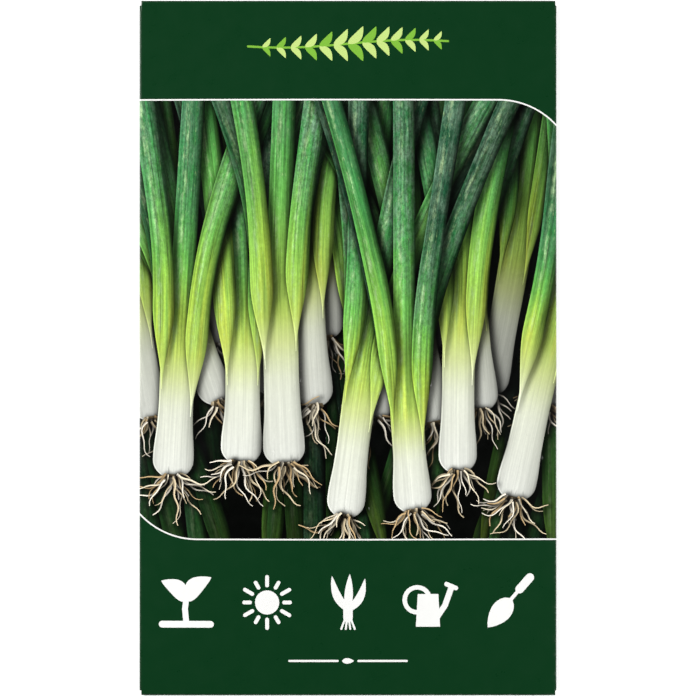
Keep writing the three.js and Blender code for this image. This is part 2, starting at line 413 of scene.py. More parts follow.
# The picture: single spring onions side by side on a dark ground, roots down, their leaves fanned
# out over each other towards the top. Tones run from the white shaft up to the dark leaf ends.
FRAME_TOP = 57.1
FRAME_BOTTOM = -44.0
FRAME_RADIUS = 18.0
FRAME_TANGENT = 13.3  # from the packet's edge to where the frame's rounded corner begins
KEYLINE = 0.34
BEHIND = 2.5  # how far the picture runs on under its frame
TONE_STOPS = [0, 0.1, 0.2, 0.3, 0.42, 0.55, 0.7, 0.85, 1]
TONES = np.array([
    ink(236, 238, 230),
    ink(230, 235, 210),
    ink(210, 222, 150),
    ink(186, 212, 100),
    ink(152, 200, 84),
    ink(108, 180, 80),
    ink(70, 152, 74),
    ink(48, 116, 68),
    ink(34, 84, 56),
])
ROOT_TONES = [ink(238, 226, 198), ink(222, 204, 168), ink(198, 170, 126), ink(246, 238, 220)]
ROOT_PLATE = ink(206, 182, 140)
STEP = 2.0
grower = random.Random(27)
strips = []


def walk(start, headings):
    """A centre line from `start`, one heading for each step, in degrees right of upwards."""
    turns = np.radians(headings)
    steps = np.stack([np.sin(turns), np.cos(turns)], axis=1) * STEP
    return np.vstack([[start], np.asarray(start) + np.cumsum(steps, axis=0)])


def add_strip(centre, half, colour, fleshy, bloom, lift, light):
    """Adds one strip over all the earlier ones. All of it but its light can change along it."""
    centre = np.asarray(centre, float)
    in_picture = (centre[:, 1] > FRAME_BOTTOM - 8) & (centre[:, 1] < FRAME_TOP + 8)
    in_picture &= np.abs(centre[:, 0]) < WIDTH / 2 + 8
    kept = np.flatnonzero(in_picture)
    if len(kept) < 2:
        return
    kept = slice(kept[0], kept[-1] + 1)
    count = len(centre)
    ahead = np.gradient(centre, axis=0)
    ahead /= np.linalg.norm(ahead, axis=1)[:, None]
    aside = np.stack([-ahead[:, 1], ahead[:, 0]], axis=1)[kept]
    strip = SimpleNamespace(
        centre=centre[kept],
        along=np.r_[0, np.cumsum(np.linalg.norm(np.diff(centre, axis=0), axis=1))][kept],
        half=np.broadcast_to(half, count).astype(float)[kept],
        colour=np.broadcast_to(colour, (count, 3))[kept],
        fleshy=np.broadcast_to(fleshy, count)[kept],
        bloom=np.broadcast_to(bloom, count)[kept],
        lift=np.broadcast_to(lift, count)[kept],
        light=light,
        number=len(strips),
    )
    right_edge = strip.centre - aside * strip.half[:, None]
    left_edge = strip.centre + aside * strip.half[:, None]
    strips.append(strip)
    outline = np.vstack([right_edge, left_edge[::-1]])
    shapes.append(SimpleNamespace(outline=outline, colour=None, strip=strip))


def aged(age, most_bloom):
    """How a strip looks on its way from the white shaft, age 0, to the dark end of a leaf, age 1."""
    tones = [np.interp(age, TONE_STOPS, TONES[:, channel]) for channel in range(3)]
    fleshy = 1 - smooth((age - 0.2) / 0.25)
    bloom = smooth((age - 0.45) / 0.35) * grower.uniform(0.1, most_bloom)
    return {"colour": np.stack(tones, axis=1), "fleshy": fleshy, "bloom": bloom}


def leaf(start, headings, half, split, light, widen=20, lift=1.0):
    """A leaf that begins as a point on the shaft and frees itself `split` mm further on."""
    centre = walk(start, headings)
    along = np.arange(len(centre)) * STEP
    sway = 1 + 0.06 * np.sin(along / 9 + start[0])
    width = half * (0.03 + 0.97 * smooth(along / widen)) * sway
    past = along - split
    past = np.where(past < 0, past, past / grower.uniform(0.6, 1.9))
    age = np.interp(past, [-22, -10, 0, 12, 30, 60], [0.02, 0.18, 0.35, 0.5, 0.72, 1])
    add_strip(centre, width, **aged(age, 1), lift=lift * smooth((along + 2) / 22), light=light)


def root_strand(start, heading, length, thick, light):
    steps = max(int(length / 0.8), 4)
    curl = grower.uniform(-8, 8)
    wiggle = grower.uniform(0, math.tau)
    count = np.arange(steps)
    turns = np.radians(heading + curl * count + 20 * np.sin(count * 0.9 + wiggle))
    hops = np.stack([np.sin(turns), np.cos(turns)], axis=1) * length / steps
    centre = np.vstack([[start], start + np.cumsum(hops, axis=0)])
    taper = np.linspace(1, 0.35, len(centre))
    colour = ROOT_TONES[grower.randrange(len(ROOT_TONES))]
    add_strip(centre, thick * taper, colour, fleshy=1, bloom=0, lift=0.35, light=light)


def roots(foot, lean, half, light, count):
    """A flat root plate with strands that spread from it, some across the end of the shaft."""
    ahead = np.array([math.sin(math.radians(lean)), math.cos(math.radians(lean))])
    aside = np.array([ahead[1], -ahead[0]])
    plate = np.array(foot) + np.outer([-0.8, -0.1, 0.6], ahead)
    add_strip(plate, np.array([0.34, 0.5, 0.42]) * half, ROOT_PLATE, fleshy=1, bloom=0, lift=0, light=light)
    for _ in range(count):
        side = grower.uniform(-1, 1)
        length = grower.uniform(4, 13) * (1 - 0.3 * abs(side))
        heading = lean + 180 - side * 58 + grower.uniform(-16, 16)
        start = np.array(foot) + aside * side * 0.5 * half + ahead * grower.uniform(-0.9, 0.9)
        root_strand(start, heading, length, grower.uniform(0.16, 0.32), light)


def spring_onion(foot, lean, shaft, half, light, root_count):
    """Roots, a long shaft that runs on as the middle leaf, and leaves that part from it."""
    bend = grower.uniform(-9, 9)
    sway = grower.uniform(-2.5, 2.5)
    length = 190
    steps = np.arange(int(length / STEP)) * STEP
    headings = lean + bend * steps / 100 + sway * np.sin(steps / 21 + foot[0])
    centre = walk(foot, headings)
    along = np.arange(len(centre)) * STEP
    sides = [-1, 1]
    grower.shuffle(sides)

    def side_leaf(side, begins, outward, leaf_half, leaf_light, lift):
        first = int(begins / STEP)
        ahead = centre[first + 1] - centre[first]
        aside = np.array([ahead[1], -ahead[0]]) / np.linalg.norm(ahead)
        start = centre[first] + aside * side * (half - 0.8)
        past = steps[first:] - shaft
        spread = 1.5 + outward * smooth(past / 36) + outward * past.clip(0) / 130
        headings_out = headings[first:] + side * spread
        leaf(start, headings_out, leaf_half, shaft - begins, leaf_light, lift=lift)

    for side in sides:
        outward = grower.uniform(5, 15)
        side_leaf(side, shaft * 0.9, outward, half * 0.6, light * grower.uniform(0.6, 0.85), 0.8)

    def onion_half(along):
        stretch = [0, shaft * 0.55, shaft, shaft + 16, length]
        shares = np.interp(along, stretch, [1, 0.92, 0.97, 0.64, 0.56])
        swelling = 1 + 0.12 * np.exp(-(((along - 5) / 5) ** 2))
        rounding = np.sqrt(1 - 0.82 * (1 - along / 3.6).clip(0) ** 2)
        return half * shares * swelling * rounding

    fine = np.r_[0, 0.15, 0.4, 0.7, 1.1, 1.6, 2.2, 3.0, 4:length:STEP]
    vigour = grower.uniform(0.7, 1.6)
    shaft_ages = [0, shaft * 0.45, shaft * 0.75, shaft]
    leaf_ages = [shaft + 14 * vigour, shaft + 38 * vigour, shaft + 75 * vigour]
    age = np.interp(fine, shaft_ages + leaf_ages, [0, 0.06, 0.2, 0.34, 0.52, 0.76, 1])
    fine_centre = np.stack([np.interp(fine, along, centre[:, axis]) for axis in (0, 1)], axis=1)
    add_strip(fine_centre, onion_half(fine), **aged(age, 0.9), lift=1.0, light=light)
    roots(foot, lean, half, light, root_count)
    for side in sides:
        begins = shaft * grower.uniform(0.45, 0.85)
        side_leaf(side, begins, grower.uniform(2, 10), half * grower.uniform(0.54, 0.64), light, 0.9)


def leaning_row(count, half_row, feet, lean, shafts, halves, light, root_count):
    """One row of onions from side to side, laid down in mixed order."""
    for i in grower.sample(range(count), count):
        x = -half_row + 2 * half_row * (i + 0.5 + grower.uniform(-0.18, 0.18)) / count
        spring_onion(
            (x, grower.uniform(*feet)),
            lean + x * 0.14 + grower.uniform(-8, 8),
            grower.uniform(*shafts),
            grower.uniform(*halves),
            light * grower.uniform(0.88, 1.0),
            root_count,
        )


# Ground, leaves far back in the shade, and three rows of onions, each over the one behind it.
picture_left = LEFT_LINE - LEFT_ARC
picture_right = RIGHT_LINE + RIGHT_ARC
lay(oblong(picture_left, FRAME_BOTTOM - BEHIND, picture_right, FRAME_TOP + BEHIND), NIGHT)
SHADED_LEAVES = 30
for i in range(SHADED_LEAVES):
    x = -56 + 112 * (i + grower.random()) / SHADED_LEAVES
    steps = np.arange(75) * STEP
    headings = x * 0.16 + grower.uniform(-16, 16) + grower.uniform(-10, 10) * steps / 100
    leaf((x, grower.uniform(-66, -52)), headings, grower.uniform(1.9, 2.8), -6, grower.uniform(0.02, 0.2))
leaning_row(8, 50, feet=(-12, 8), lean=9, shafts=(16, 34), halves=(3.2, 3.8), light=0.42, root_count=10)
leaning_row(8, 50, feet=(-27, -9), lean=-9, shafts=(18, 38), halves=(3.5, 4.1), light=0.74, root_count=15)
leaning_row(7, 47, feet=(-39, -25), lean=1, shafts=(20, 40), halves=(3.9, 4.5), light=1.0, root_count=26)

# The green ground of the front above and below the picture, of the flaps, the back and the side
# lap. The picture's frame is rounded at its top right and bottom left only.
frame_left = -WIDTH / 2
frame_right = WIDTH / 2
top_centre = (frame_right - FRAME_TANGENT, FRAME_TOP - FRAME_RADIUS)
bottom_centre = (frame_left + FRAME_TANGENT, FRAME_BOTTOM + FRAME_RADIUS)
cut_angle = math.degrees(math.acos(FRAME_TANGENT / FRAME_RADIUS)) - 4
top_round = arc(*top_centre, FRAME_RADIUS, 90, cut_angle)
bottom_round = arc(*bottom_centre, FRAME_RADIUS, 270, 180 + cut_angle)
past_left = LEFT_LINE - LEFT_ARC / 2
past_right = RIGHT_LINE + RIGHT_ARC / 2
ground_left = past_left - 3
ground_right = past_right + 3
above_picture = [(ground_right, top_round[-1][1]), (ground_right, BLANK_TOP), (past_left, BLANK_TOP)]
below_picture = [(ground_left, bottom_round[-1][1]), (ground_left, BLANK_BOTTOM), (past_right, BLANK_BOTTOM)]
lay([*top_round, *above_picture, (past_left, FRAME_TOP)], DARK_GREEN)
lay([*bottom_round, *below_picture, (past_right, FRAME_BOTTOM)], DARK_GREEN)
lay(line([(past_left - 1, FRAME_TOP), *top_round], KEYLINE), PAPER_WHITE)
lay(line([(past_right + 1, FRAME_BOTTOM), *bottom_round], KEYLINE), PAPER_WHITE)
lay(oblong(BLANK_LEFT, -BACK_HALF, past_left, BACK_HALF), DARK_GREEN)
lay(oblong(past_right, -BACK_HALF, BLANK_RIGHT, BACK_HALF), DARK_GREEN)


# Small garden pictures, each drawn in a square of twelve units about its middle.
def sprout():
    ground = line([(-5.4, -4.9), (5.4, -4.9)], 1.5)
    stem = line([(0, -4.6), (-0.3, -1.5), (0.1, 1.6)], 1.3)
    return [ground, stem, blade((0, 0.2), (-5.6, 4.8), 3.7, -0.14), blade((0, 0.2), (5.6, 5.6), 3.9, 0.14)]


def sun():
    outlines = [arc(0, 0, 2.7, 0, 345, 23)]
    for ray in range(12):
        turn = math.tau * ray / 12
        reach = 5.7 if ray % 2 else 5.1
        ends = [(far * math.cos(turn), far * math.sin(turn)) for far in (3.8, reach)]
        outlines.append(line(ends, 0.85))
    return outlines


def watering_can():
    # The handle is a ring: once round its outside, and back round its hole.
    handle = arc(-2.6, 0.6, 3.3, 0, 360, 24) + arc(-2.6, 0.6, 2.3, 360, 0, 24)
    spout = line([(1.6, -3.6), (3.6, -0.6), (5, 3.4)], 1.3)
    rose = line([(3.9, 4.1), (6, 3.2)], 1.0)
    return [handle, spout, rose, [(-2.9, -5.4), (2.5, -5.4), (2.1, 1.9), (-2.5, 1.9)]]


def little_onion():
    tips = ((-3.6, 6, 0.1), (0.4, 6.4, 0.0), (3.8, 5.4, -0.12))
    leaves = [blade((-0.1 * x, -2.2), (x, y), 1.9, bend) for x, y, bend in tips]
    shaft = line([(0, -3.4), (0, -1.2), (0, 0.2)], 2.1)
    return leaves + [shaft] + [line([(0.5 * x, -3.9), (x, -5.9)], 0.45) for x in (-1.5, -0.5, 0.5, 1.5)]


def trowel():
    scoop = blade((0.5, 0.9), (-4.9, -5.6), 4.6)
    return [scoop, line([(0, 0.3), (2.2, 2.9)], 0.8), line([(2.2, 2.9), (4.5, 5.5)], 1.9)]


def lay_picture(garden_picture, s, t, size, colour):
    for outline in garden_picture():
        lay([(s + x * size / 12, t + y * size / 12) for x, y in outline], colour)


def sprig(s, t, length, colour, leaf_colour):
    """A lying twig with paired leaves that get smaller towards both ends."""
    pairs = 13
    share = np.linspace(-1, 1, pairs + 2)
    spine = np.stack([s + share * length / 2, t + 0.9 * np.sin(share * 2.4)], axis=1)
    lay(line(spine, 0.5), colour)
    for i in range(1, pairs + 1):
        size = 0.122 * length * (1 - 0.55 * abs(share[i]))
        for side in (-1, 1):
            foot = spine[i]
            tip = foot + np.array([0.62 * size, side * 0.72 * size])
            lay(blade(foot, tip, 0.36 * size, side * -0.12), leaf_colour if (i + side) % 3 else colour)


# On the front: a lime twig above the picture, and a row of five pictures and a short rule below.
SPRIG_AT = 70.0
SPRIG_LENGTH = 46.0
PICTURES_AT = -58.5
PICTURE_SIZE = 12.4
PICTURE_PITCH = 18.6
RULE_AT = -72.0
RULE_LENGTH = 27.0
sprig(0, SPRIG_AT, SPRIG_LENGTH, LIME, PALE_LIME)
for place, garden_picture in enumerate([sprout, sun, little_onion, watering_can, trowel]):
    lay_picture(garden_picture, (place - 2) * PICTURE_PITCH, PICTURES_AT, PICTURE_SIZE, PAPER_WHITE)
for side in (-1, 1):
    lay(line([(side * 2.4, RULE_AT), (side * RULE_LENGTH / 2, RULE_AT)], 0.5), PAPER_WHITE)
lay(blade((-1.4, RULE_AT), (1.4, RULE_AT), 1.3), PAPER_WHITE)

# On the back: a pale panel with an empty sowing calendar, a drawing of sown rows and three small
# pictures, and below it a bare white box and a twig.
BACK_MIDDLE = (BLANK_LEFT + LEFT_LINE - LEFT_ARC) / 2
PANEL_WIDTH = 74.0
PANEL_BOTTOM = -24.0
PANEL_TOP = 50.0
CALENDAR_ROWS = 3
CALENDAR_COLUMNS = 12
CELL_WIDTH = 5.3
CELL_HEIGHT = 5.0
CALENDAR_AT = 27.0  # its lowest line
SOIL_AT = 5.0
SOIL_HEIGHT = 5.0
SEEDLING_PITCH = 15
SMALL_PICTURES_AT = -13.0
SMALL_PICTURE_SIZE = 11.0
SMALL_PICTURE_PITCH = 22
BOX_BOTTOM = -52
BOX_TOP = -33
PANEL_INK = ink(236, 241, 226)
GRID_INK = ink(120, 150, 118)
SOIL_INK = ink(150, 118, 84)
ROW_INKS = [LIME, ink(60, 140, 60), ink(222, 170, 60)]
ROW_SPANS = [(2, 4), (4, 7), (6, 10)]  # first and last month of each coloured bar

panel_left = BACK_MIDDLE - PANEL_WIDTH / 2
panel_right = BACK_MIDDLE + PANEL_WIDTH / 2
lay(rounded(panel_left, PANEL_BOTTOM, panel_right, PANEL_TOP, 4), PANEL_INK)
calendar_left = BACK_MIDDLE - CELL_WIDTH * CALENDAR_COLUMNS / 2
calendar_right = BACK_MIDDLE + CELL_WIDTH * CALENDAR_COLUMNS / 2
calendar_top = CALENDAR_AT + CELL_HEIGHT * (CALENDAR_ROWS + 1)
lay(oblong(calendar_left, calendar_top - CELL_HEIGHT, calendar_right, calendar_top), DARK_GREEN)
for column in range(CALENDAR_COLUMNS):
    s = calendar_left + (column + 0.5) * CELL_WIDTH
    lay(arc(s, calendar_top - CELL_HEIGHT / 2, 0.8, 0, 330, 11), PANEL_INK)
for row, (first, last) in enumerate(ROW_SPANS):
    t = CALENDAR_AT + (CALENDAR_ROWS - row - 0.5) * CELL_HEIGHT
    s0 = calendar_left + first * CELL_WIDTH
    lay(rounded(s0, t - 1.5, calendar_left + last * CELL_WIDTH, t + 1.5, 1.4), ROW_INKS[row])
for row in range(CALENDAR_ROWS + 1):
    t = CALENDAR_AT + row * CELL_HEIGHT
    lay(oblong(calendar_left, t - 0.12, calendar_right, t + 0.12), GRID_INK)
for column in range(CALENDAR_COLUMNS + 1):
    s = calendar_left + column * CELL_WIDTH
    lay(oblong(s - 0.12, CALENDAR_AT, s + 0.12, calendar_top - CELL_HEIGHT), GRID_INK)

lay(oblong(calendar_left, SOIL_AT, calendar_right, SOIL_AT + SOIL_HEIGHT), SOIL_INK)
for i in range(4):
    s = BACK_MIDDLE + (i - 1.5) * SEEDLING_PITCH
    lay(arc(s, SOIL_AT + 2.6, 0.7, 0, 330, 11), DARK_GREEN)
    for side in (-1, 1):
        lay(blade((s, SOIL_AT + 5), (s + side * 2.6, SOIL_AT + 11), 1.5, side * 0.1), ROW_INKS[1])
    lay(line([(s, SOIL_AT + 4.6), (s, SOIL_AT + 8), (s, SOIL_AT + 12.5)], 1.0), ROW_INKS[1])
for i in range(3):
    s = BACK_MIDDLE + (i - 1) * SEEDLING_PITCH
    lay(line([(s - 5, SOIL_AT - 3), (s + 5, SOIL_AT - 3)], 0.4), DARK_GREEN)
    for side in (-1, 1):
        barbs = [(s + side * 4, SOIL_AT - 2), (s + side * 5.2, SOIL_AT - 3), (s + side * 4, SOIL_AT - 4)]
        lay(line(barbs, 0.4), DARK_GREEN)
for i, garden_picture in enumerate([sun, watering_can, trowel]):
    s = BACK_MIDDLE + (i - 1) * SMALL_PICTURE_PITCH
    lay_picture(garden_picture, s, SMALL_PICTURES_AT, SMALL_PICTURE_SIZE, DARK_GREEN)
lay(rounded(BACK_MIDDLE + 3, BOX_BOTTOM, panel_right, BOX_TOP, 1.2), PAPER_WHITE)
sprig(BACK_MIDDLE - 18, -42.5, 30.0, LIME, PALE_LIME)

# The sheet is divided into triangles: by all printed outlines, by the fold lines, and by a grid
# that is finer under the picture. The last shape that covers a triangle is what is printed there.
bottom_flap = [(LEFT_LINE, BLANK_BOTTOM), (RIGHT_LINE, BLANK_BOTTOM)]
lap = oblong(RIGHT_LINE, -BACK_HALF, BLANK_RIGHT, BACK_HALF)
top_flap = [(RIGHT_LINE, BLANK_TOP), (LEFT_LINE, BLANK_TOP)]
back = oblong(LEFT_LINE, BACK_HALF, BLANK_LEFT, -BACK_HALF)
blank = bottom_flap + lap + top_flap + back
FOLD_PARTS = 6
FOLD_MARGIN = 0.3
FOLD_PITCH = 2.2
PICTURE_GRID = 0.55
PLAIN_GRID = 1.6
COARSE_GRID = 3.0
MERGE = 0.002
fold_lines = []


def across_fold(arc_length):
    """Places across a fold: its arc in equal parts, and a line close to it on either side."""
    return [-FOLD_MARGIN, *np.linspace(0, arc_length, FOLD_PARTS + 1), arc_length + FOLD_MARGIN]


for line_at, outwards, arc_length in ((LEFT_LINE, -1, LEFT_ARC), (RIGHT_LINE, 1, RIGHT_ARC)):
    for past in across_fold(arc_length):
        s = line_at + outwards * past
        reach = END_LINE if past < 0 else BACK_HALF
        fold_lines.append(((s, -reach), (s, reach)))
for past in across_fold(END_ARC):
    for side in (-1, 1):
        t = side * (END_LINE + past)
        fold_lines.append(((LEFT_LINE, t), (RIGHT_LINE, t)))


def grid(s0, t0, s1, t1, pitch):
    """Points of a triangular grid inside an oblong."""
    rows = max(int((t1 - t0) / (pitch * 0.866)), 1)
    points = []
    for row in range(rows):
        t = t0 + (row + 0.5) * (t1 - t0) / rows
        count = max(int((s1 - s0) / pitch), 1)
        shift = 0.25 if row % 2 else -0.25
        points += [(s0 + (n + 0.5 + shift) * (s1 - s0) / count, t) for n in range(count)]
    return points


def inside(points, outline):
    """Whether each point is inside an outline: how often the outline winds round it isn't zero."""
    start = outline
    end = np.roll(outline, -1, axis=0)
    x = points[:, :1]
    y = points[:, 1:]
    leftness = (end[:, 0] - start[:, 0]) * (y - start[:, 1]) - (x - start[:, 0]) * (end[:, 1] - start[:, 1])
    upward = (start[:, 1] <= y) & (end[:, 1] > y) & (leftness > 0)
    downward = (start[:, 1] > y) & (end[:, 1] <= y) & (leftness < 0)
    return upward.sum(1) != downward.sum(1)


def divide(outlines, points):
    """Triangles between outlines, fold lines and loose points, inside the first outline.

    Also tells, for each corner, which of the given points it came from."""
    coordinates = [tuple(p) for outline in outlines for p in outline]
    faces = []
    first = 0
    for outline in outlines:
        faces.append(list(range(first, first + len(outline))))
        first += len(outline)
    edges = []
    for start, end in fold_lines:
        first = len(coordinates)
        pieces = math.ceil(math.dist(start, end) / FOLD_PITCH)
        coordinates += [tuple(point) for point in np.linspace(start, end, pieces + 1)]
        edges += [(first + i, first + i + 1) for i in range(pieces)]
    coordinates += points
    made = delaunay_2d_cdt([Vector(p) for p in coordinates], edges, faces, 1, MERGE, True)
    corners = np.array([tuple(p) for p in made[0]])
    triangles = np.array(made[2])
    triangles = triangles[inside(corners[triangles].mean(1), np.asarray(outlines[0]))]
    kept, triangles = np.unique(triangles, return_inverse=True)
    return corners[kept], triangles.reshape(-1, 3), [made[3][i] for i in kept]


back_grid = grid(BLANK_LEFT, -BACK_HALF, LEFT_LINE - LEFT_ARC, BACK_HALF, COARSE_GRID)
loose = grid(LEFT_LINE, FRAME_BOTTOM - BEHIND, RIGHT_LINE, FRAME_TOP + BEHIND, PICTURE_GRID)
loose += grid(LEFT_LINE, FRAME_TOP + BEHIND, RIGHT_LINE, END_LINE, PLAIN_GRID)
loose += grid(LEFT_LINE, -END_LINE, RIGHT_LINE, FRAME_BOTTOM - BEHIND, PLAIN_GRID)
loose += back_grid
loose += grid(RIGHT_LINE + RIGHT_ARC, -BACK_HALF, BLANK_RIGHT, BACK_HALF, COARSE_GRID)
loose += grid(LEFT_LINE, END_LINE + END_ARC, RIGHT_LINE, BLANK_TOP, COARSE_GRID)
loose += grid(LEFT_LINE, BLANK_BOTTOM, RIGHT_LINE, -END_LINE - END_ARC, COARSE_GRID)
corners, triangles, _ = divide([divided(blank, 2)] + [shape.outline for shape in shapes], loose)
centres = corners[triangles].mean(1)
on_top = np.full(len(triangles), -1)
for number in range(len(shapes) - 1, -1, -1):
    outline = shapes[number].outline
    near = (centres > outline.min(0)).all(1) & (centres < outline.max(0)).all(1) & (on_top < 0)
    near = np.flatnonzero(near)
    on_top[near[inside(centres[near], outline)]] = number


# What is printed at each corner of each triangle: its ink, where it lies on its leaf, how that
# leaf looks there, and the shade that leaves above it throw.
SHADOW_SHIFT = np.array([0.45, -0.35])
SHADOW_REACH = 1.3
SHADOW_DEPTH = 0.93


def near_strip(points, strip):
    """Each point's place along a strip, in steps, and its distance to the right of its middle."""
    start = strip.centre[:-1]
    span = strip.centre[1:] - start
    share = ((points[:, None] - start) * span).sum(2) / (span**2).sum(1)
    share = share.clip(0, 1)
    away = points[:, None] - (start + share[..., None] * span)
    step = (away**2).sum(2).argmin(1)
    rows = np.arange(len(points))
    away = away[rows, step]
    span = span[step]
    side = np.sign(away[:, 0] * span[:, 1] - away[:, 1] * span[:, 0])
    return step + share[rows, step], side * np.linalg.norm(away, axis=1)


def along_strip(values, place):
    return np.interp(place, np.arange(len(values)), values)


shade = np.ones(len(corners))
used = triangles.reshape(-1)
owner = np.repeat(on_top, 3)
inks = np.zeros((len(used), 3))
across = np.zeros(len(used))
leaf_place = np.zeros((len(used), 3))
leaf_look = np.zeros((len(used), 3))
for number in range(len(shapes) - 1, -1, -1):
    shape = shapes[number]
    mine = np.flatnonzero(owner == number)
    strip = shape.strip
    if strip is None:
        inks[mine] = shape.colour
        leaf_look[mine, 2] = shade[used[mine]]
        continue
    if len(mine):
        place, aside = near_strip(corners[used[mine]], strip)
        width = along_strip(strip.half, place)
        across[mine] = (aside / width).clip(-1, 1)
        for channel in range(3):
            inks[mine, channel] = along_strip(strip.colour[:, channel], place)
        along = along_strip(strip.along, place)
        leaf_place[mine] = np.stack([aside, along, np.full(len(mine), strip.number)], axis=1)
        lit = shade[used[mine]] * strip.light
        looks = [along_strip(strip.fleshy, place), along_strip(strip.bloom, place), lit]
        leaf_look[mine] = np.stack(looks, axis=1)
    reach = strip.half.max() + 3 * SHADOW_REACH
    low = strip.centre.min(0) - reach
    high = strip.centre.max(0) + reach
    near = np.flatnonzero(((corners > low) & (corners < high)).all(1))
    if len(near):
        place, aside = near_strip(corners[near] - SHADOW_SHIFT, strip)
        gap = (np.abs(aside) - along_strip(strip.half, place)).clip(0)
        lift = along_strip(strip.lift, place)
        shadow_reach = SHADOW_REACH * (0.25 + 0.75 * lift)
        shade[near] *= 1 - SHADOW_DEPTH * lift**0.5 * np.exp(-((gap / shadow_reach) ** 2))

# The inside of the sheet is divided more coarsely, from the same edge, and joined to the outside
# by the cut edge all round.
sides = np.concatenate([triangles[:, [0, 1]], triangles[:, [1, 2]], triangles[:, [2, 0]]])
present = set(map(tuple, sides))
rim = {a: b for a, b in present if (b, a) not in present}
loop = [next(iter(rim))]
while rim[loop[-1]] != loop[0]:
    loop.append(rim[loop[-1]])
loose = grid(LEFT_LINE, -END_LINE, RIGHT_LINE, END_LINE, COARSE_GRID) + back_grid
inner_corners, inner_triangles, came_from = divide([corners[loop]], loose)
outer_count = len(corners)
inner_of = {}
for inner, sources in enumerate(came_from):
    for source in sources:
        if source < len(loop):
            inner_of[loop[source]] = outer_count + inner
walls = []
for i, a in enumerate(loop):
    b = loop[(i + 1) % len(loop)]
    walls.append((b, a, inner_of[a], inner_of[b]))

outer_places = folded(corners[:, 0], corners[:, 1], PAPER / 2)
inner_places = folded(inner_corners[:, 0], inner_corners[:, 1], -PAPER / 2)
sheet_mesh = bpy.data.meshes.new("folded_sheet")
sheet_mesh.from_pydata(
    np.vstack([outer_places, inner_places]) * MM,
    [],
    [*triangles.tolist(), *(inner_triangles[:, ::-1] + outer_count).tolist(), *walls],
)


def corner_values(name, kind, values, fill):
    """Stores one value for each corner of the printed side, and `fill` on the bare paper."""
    attribute = sheet_mesh.attributes.new(name, kind, "CORNER")
    width = {"FLOAT": 1, "FLOAT_VECTOR": 3, "FLOAT_COLOR": 4}[kind]
    everything = np.full((len(sheet_mesh.loops), width), fill, np.float32)
    everything[: len(used), : values.shape[1]] = values
    channel = {"FLOAT": "value", "FLOAT_VECTOR": "vector", "FLOAT_COLOR": "color"}[kind]
    attribute.data.foreach_set(channel, everything.ravel())


# The sheet's own map for its textures is the flat blank. The inside lies small in the blank's
# empty upper left corner, and the pieces of the cut edge in a raster in its lower left corner.
BAKE_MARGIN = 1.0
INSIDE_SHARE = (0.42, 0.09)
EDGE_CELL = 1.05
EDGE_CELL_FILLED = 0.9
EDGE_CELLS_IN_ROW = 80
flat_low = np.array([BLANK_LEFT, BLANK_BOTTOM]) - BAKE_MARGIN
flat_size = np.array([BLANK_RIGHT, BLANK_TOP]) + BAKE_MARGIN - flat_low
inside_corner = np.array([BLANK_LEFT, BACK_HALF + BAKE_MARGIN])
inside_flat = (inner_corners - [BLANK_LEFT, BLANK_BOTTOM]) * INSIDE_SHARE + inside_corner
cell = np.arange(len(walls))
cell_corner = np.stack([cell % EDGE_CELLS_IN_ROW, cell // EDGE_CELLS_IN_ROW], axis=1) * EDGE_CELL
cell_corner = cell_corner + [BLANK_LEFT, BLANK_BOTTOM]
cell_shape = np.array([(0, 0), (1, 0), (1, 1), (0, 1)]) * EDGE_CELL_FILLED
edge_flat = (cell_corner[:, None] + cell_shape).reshape(-1, 2)
flat_map = np.vstack([corners[used], inside_flat[inner_triangles[:, ::-1].reshape(-1)], edge_flat])
flat_map = (flat_map - flat_low) / flat_size
texture_map = sheet_mesh.uv_layers.new(name="OFBake")
texture_map.data.foreach_set("uv", flat_map.astype(np.float32).ravel())

corner_values("ink", "FLOAT_COLOR", inks, 1)
corner_values("across", "FLOAT", across[:, None], 0)
corner_values("leaf_place", "FLOAT_VECTOR", leaf_place, 0)
corner_values("leaf_look", "FLOAT_VECTOR", leaf_look, 1)

# Ink wears off along the four folds.
FOLD_WEAR_REACH = 0.35
from_fold = np.minimum.reduce([
    np.abs(corners[:, 0] - (LEFT_LINE - LEFT_ARC / 2)),
    np.abs(corners[:, 0] - (RIGHT_LINE + RIGHT_ARC / 2)),
    np.abs(np.abs(corners[:, 1]) - (END_LINE + END_ARC / 2)),
])
fold_wear = np.exp(-((from_fold / FOLD_WEAR_REACH) ** 2))
corner_values("fold_wear", "FLOAT", fold_wear[used][:, None], 0)

PICTURE, FLAT_INK, BARE = 0, 1, 2
is_picture = np.array([shape.strip is not None for shape in shapes])
finish = np.full(len(sheet_mesh.polygons), BARE)
finish[: len(triangles)] = np.where(is_picture[on_top], PICTURE, FLAT_INK)
sheet_mesh.polygons.foreach_set("material_index", finish)
smooth_faces = np.ones(len(sheet_mesh.polygons), bool)
smooth_faces[-len(walls):] = False
sheet_mesh.polygons.foreach_set("use_smooth", smooth_faces)


# Printed paper. One group gives the grain of coated paper and one the wear along the folds. Two
# more shade the picture: light across a leaf or a shaft, and the tints of its skin.
def calculate(tree, operation, a, b=0.0, c=0.0):
    return add(tree, "ShaderNodeMath", {0: a, 1: b, 2: c}, operation=operation)


def noise(tree, vector, stretch, detail=2.0, roughness=0.5):
    """Noise on a vector that is first multiplied by `stretch`."""
    scaled = add(tree, "ShaderNodeVectorMath", {0: vector, 1: stretch}, operation="MULTIPLY")
    look = {"Vector": scaled, "Scale": 1.0, "Detail": detail, "Roughness": roughness}
    return add(tree, "ShaderNodeTexNoise", look)


def spread(tree, value, low, high, to_low, to_high):
    ends = {"Value": value, "From Min": low, "From Max": high, "To Min": to_low, "To Max": to_high}
    return add(tree, "ShaderNodeMapRange", ends)


def blend(tree, factor, a, b):
    return add(tree, "ShaderNodeMix", {0: factor, 6: a, 7: b}, out=2, data_type="RGBA")


